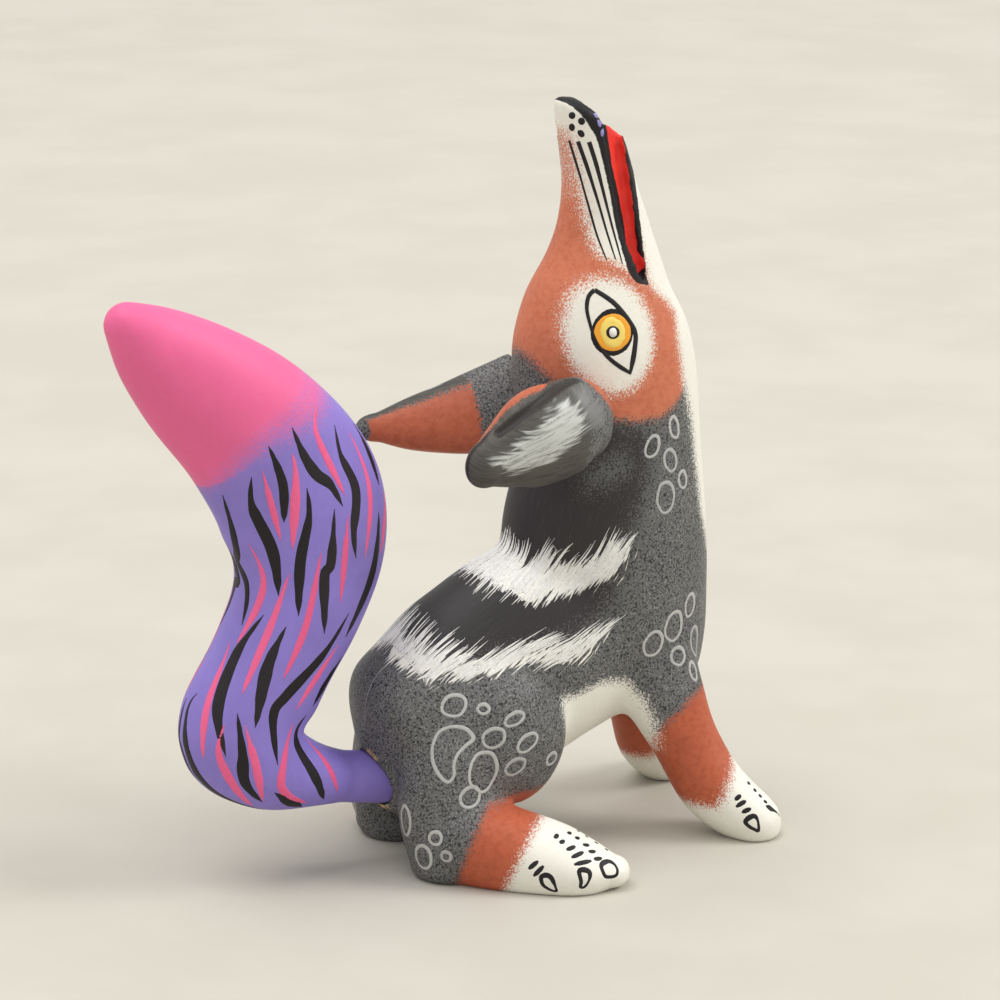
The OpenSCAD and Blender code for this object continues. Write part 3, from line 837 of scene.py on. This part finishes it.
def tail_stripe(paint, numbers, wide, s):
    """One stripe on the side s, thin at its upper end and widest past its middle."""
    points = [around(paint.wood, TAIL, a, t * -s, -1) for a, t in zip(numbers[::2], numbers[1::2])]
    shape = (0.06, 0.4, 0.8, 1, 0.95, 0.6, 0.06)
    paint.stroke(points, [wide * k * paint.rng.uniform(0.9, 1.1) for k in shape], lift=0.08)


def tail_stripes(black, pink):
    for paint, stripes, wide in ((black, BLACK_STRIPES, (2.2, 2.9)), (pink, PINK_STRIPES, (1.5, 2.1))):
        for stripe in stripes:
            tail_stripe(paint, stripe, paint.rng.uniform(*wide), -1)
            moved = [v + paint.rng.uniform(-1.5, 1.5) - (3 if i % 2 == 0 else 0)
                     for i, v in enumerate(stripe)]
            tail_stripe(paint, moved, paint.rng.uniform(*wide), 1)


# ---- the ears ----
# The crease that runs along the outer face of the right ear, under its upper edge
CREASE = [(-0.4, 28.2, 98.2), (1.8, 28.3, 99.5), (6.4, 28.1, 102), (9.1, 27.3, 103.2),
          (12.3, 25.6, 104.1), (15.9, 23.1, 104.7), (19.3, 21.1, 105.1), (21.5, 20.1, 105.3)]
EAR_WHITE = [(-2.8, 92.7), (-0.5, 93.8), (2.9, 95.3), (6.4, 97.5), (8.9, 99), (11, 100.7),
             (13.5, 101.8), (15.9, 102.3), (18.3, 101.4), (19, 99.4), (19.2, 96.9), (17.2, 95.3),
             (14.6, 93.6), (12.1, 92.3), (9.9, 91.1), (6.7, 90.9), (1.9, 90.5), (-0.9, 91.4)]
EAR_PALE = [(18.5, 104), (21.5, 103.5), (25.5, 99.5), (25, 96), (21, 97), (19, 99)]


def off_line(co, line):
    """How far each point is from a line of points in space."""
    pts = np.array([tuple(p) for p in smooth_path(line, 0.4)])
    far = np.full(len(co), 1e9)
    for p in pts:
        far = np.minimum(far, np.linalg.norm(co - p, axis=1))
    return far


def carve_ear(node, s):
    wood = Wood(node, 0.4)
    wood.co = wood.smoothed(0.9)
    keep_in_box(wood, node)
    if s < 0:
        groove = off_line(wood.co, [(x, s * y, z) for x, y, z in CREASE])
        wood.co = wood.co - wood.normal * (0.65 * (1 - ramp(groove, 0.2, 1.5)))[:, None]
        keep_in_box(wood, node)
    return wood


def ear_fields(wood, s):
    x, y, z = wood.co.T
    n = wood.normal
    out = y * s
    outer = (n[:, 1] * s - 0.2) * 12
    root = RIGHT_EAR_ROOT if s < 0 else LEFT_EAR_ROOT
    if s < 0:
        line = np.interp(x, [-3.3, -1.7, 0.9, 5.5, 7.9, 10.5, 13, 15],
                         [25.8, 26.1, 25.6, 25.5, 25.3, 24.7, 22.9, 19])
        upward = (n[:, 2] + 0.25 - np.minimum(n[:, 1] * s, 0)) * 8
        earth = np.minimum.reduce([line - out, 13.5 - x, upward])
        head_side = 0.78 * (x - 24.4) + 0.62 * (z - 103.8)
        earth = np.maximum(earth, np.minimum(head_side, z - 95))
        patch = np.minimum(inside(x, z, EAR_WHITE), outer)
        pale = np.minimum(inside(x, z, EAR_PALE), outer)
        # Painted shade: near-black along the carved fold of the right ear, and along its front where the
        # surface turns edge-on to the side
        crease = 1.3 - off_line(wood.co, [(cx, s * cy, cz) for cx, cy, cz in CREASE])
        rim = np.where((x < 12) & (earth < -0.5), (0.24 - np.abs(n[:, 1] * s)) * 6, NOWHERE)
        crease = np.maximum(crease, rim)
        dark = np.where(x < 19, 3.0, (19 - x) * 1.2 + 3)
    else:
        earth = np.minimum.reduce([(0.73 - n[:, 2]) * 8, (-n[:, 1] + 0.15) * 8, 16 - x, (x + 4) * 1.5])
        patch = np.minimum(inside(x * 1.1, z + 7, EAR_WHITE), outer)
        pale = np.minimum(inside(x, z + 6, EAR_PALE), outer)
        crease = np.full(len(x), NOWHERE)
        dark = np.where(n[:, 2] > 0.5, (n[:, 2] - 0.7) * 9, -4.0) + np.where(x > 16, -3, 0)
    rel = wood.co - np.array(root)
    along = rel @ np.array(EAR_OUT[s])
    r = np.linalg.norm(rel - along[:, None] * np.array(EAR_OUT[s]), axis=1)
    wood.fields = {"earth": earth, "white": patch, "pale": pale, "dark": dark, "crease": crease,
                   "along": x, "across": z + 0.6 * out,
                   "raw": np.where((r < 3.3) & (along < 1), 1.0, NOWHERE)}


def ear_strokes(light, s):
    """Pale brush strokes along the outer face of an ear."""
    rng = light.rng
    drop = 0 if s < 0 else -6
    for _ in range(60):
        x = rng.uniform(0, 17)
        z = rng.uniform(90.8 + max(x - 10, 0) * 0.5, 93.4 + 0.52 * (x + 1)) + drop
        run = rng.uniform(2.5, 5)
        points = [side_point(light.wood, x + run * f, z + run * 0.3 * f, s) for f in (-0.5, 0, 0.5)]
        full = rng.uniform(0.25, 0.5)
        light.stroke(points, [0.08, full, full * 0.8, 0.06], lift=0.045, step=0.8)


# ---- the stage ----
def floor():
    bpy.ops.mesh.primitive_plane_add(size=12, location=(0, 0, 0))
    plane = bpy.context.object
    plane.name = "floor"
    s = Shader("floor", 0.75, 0.15)
    base = s.mix((0.505, 0.478, 0.414), (0.53, 0.505, 0.442), s.rise(s.noise(60), 0.35, 0.65))
    plane.data.materials.append(s.done(base, s.noise(2)))


def softbox(name, place, size, watts):
    lamp = bpy.data.lights.new(name, "AREA")
    lamp.shape, lamp.size, lamp.energy = "DISK", size, watts
    obj = bpy.data.objects.new(name, lamp)
    bpy.context.scene.collection.objects.link(obj)
    obj.location = place
    obj.rotation_euler = (Vector((0, 0, 0.07)) - Vector(place)).to_track_quat("-Z", "Y").to_euler()


def studio():
    world = bpy.data.worlds.new("studio")
    world.use_nodes = True
    world.node_tree.nodes["Background"].inputs["Color"].default_value = (1, 0.99, 0.97, 1)
    world.node_tree.nodes["Background"].inputs["Strength"].default_value = 0.78
    bpy.context.scene.world = world
    softbox("key", (3.8, -2.0, 3.8), 2.8, 155)
    softbox("top", (-1.3, 0.2, 4.6), 3.6, 130)
    bpy.context.scene.view_settings.view_transform = "Standard"


def camera():
    lens = bpy.data.cameras.new("camera")
    lens.lens, lens.sensor_width, lens.clip_start = 155.3, 36, 0.05
    obj = bpy.data.objects.new("camera", lens)
    bpy.context.scene.collection.objects.link(obj)
    place, aim = Vector((-386.9, -775.8, 317.4)) * MM, Vector((11.5, -5.3, 76.9)) * MM
    obj.location = place
    obj.rotation_euler = (aim - place).to_track_quat("-Z", "Y").to_euler()
    bpy.context.scene.camera = obj


# ---- putting it together ----
def place(obj, material, body, slot_name, *nodes):
    obj.data.materials.append(material)
    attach(obj, body)
    if nodes:
        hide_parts(*nodes)


def build_body():
    wood = carve_body()
    body_fields(wood)
    place(wood.made("body_wood"), body_paint(), "body", "body_paint", "body")
    hairs, black, ring_paint = Paint(wood, 1), Paint(wood, 2), Paint(wood, 3)
    orange, yellow, white, lilac = (Paint(wood, k) for k in (4, 5, 6, 7))
    hair_strokes(hairs, LOW_BAND, 430, (0.2, 0.5))
    hair_strokes(hairs, HIGH_BAND, 450, (0.24, 0.56))
    rings(ring_paint)
    for s in (-1, 1):
        eye(black, orange, yellow, white, s)
        snout(black, lilac, s)
        paws(black, s)
    for paint, name, main, thin in (
            (hairs, "back_hairs", (0.84, 0.83, 0.78), (0.66, 0.66, 0.64)),
            (black, "black_lines", BLACK, (0.02, 0.017, 0.018)),
            (ring_paint, "ring_lines", (0.47, 0.47, 0.45), (0.38, 0.38, 0.37)),
            (orange, "eye_orange", (0.84, 0.37, 0.035), (0.78, 0.30, 0.025)),
            (yellow, "eye_yellow", (0.85, 0.66, 0.16), (0.8, 0.55, 0.10)),
            (white, "white_dabs", CREAM, (0.7, 0.7, 0.68)),
            (lilac, "nose_lilac", (0.33, 0.28, 0.62), (0.26, 0.22, 0.5))):
        place(paint.made(name), stroke_paint(name, main, thin), "body", "body_paint")


def build_tail():
    wood = carve_tail()
    tail_fields(wood)
    place(wood.made("tail_wood"), tail_paint(), "tail", "tail_paint", "tail")
    black, pink = Paint(wood, 11), Paint(wood, 12)
    tail_stripes(black, pink)
    place(black.made("tail_black"), stroke_paint("tail_black", BLACK, (0.022, 0.018, 0.022)),
          "tail", "tail_paint")
    place(pink.made("tail_pink"), stroke_paint("tail_pink", (0.84, 0.135, 0.30), (0.77, 0.11, 0.26)),
          "tail", "tail_paint")


def build_ears():
    for s, node in ((-1, "right_ear"), (1, "left_ear")):
        wood = carve_ear(node, s)
        ear_fields(wood, s)
        place(wood.made(node + "_wood"), ear_paint(node + "_paint"), node, "ear_paint", node)
        light = Paint(wood, 20 + s)
        ear_strokes(light, s)
        place(light.made(node + "_strokes"),
              stroke_paint(node + "_strokes", (0.46, 0.46, 0.43), (0.26, 0.26, 0.24)), node, "ear_paint")


build_body()
build_tail()
build_ears()
floor()
studio()
camera()
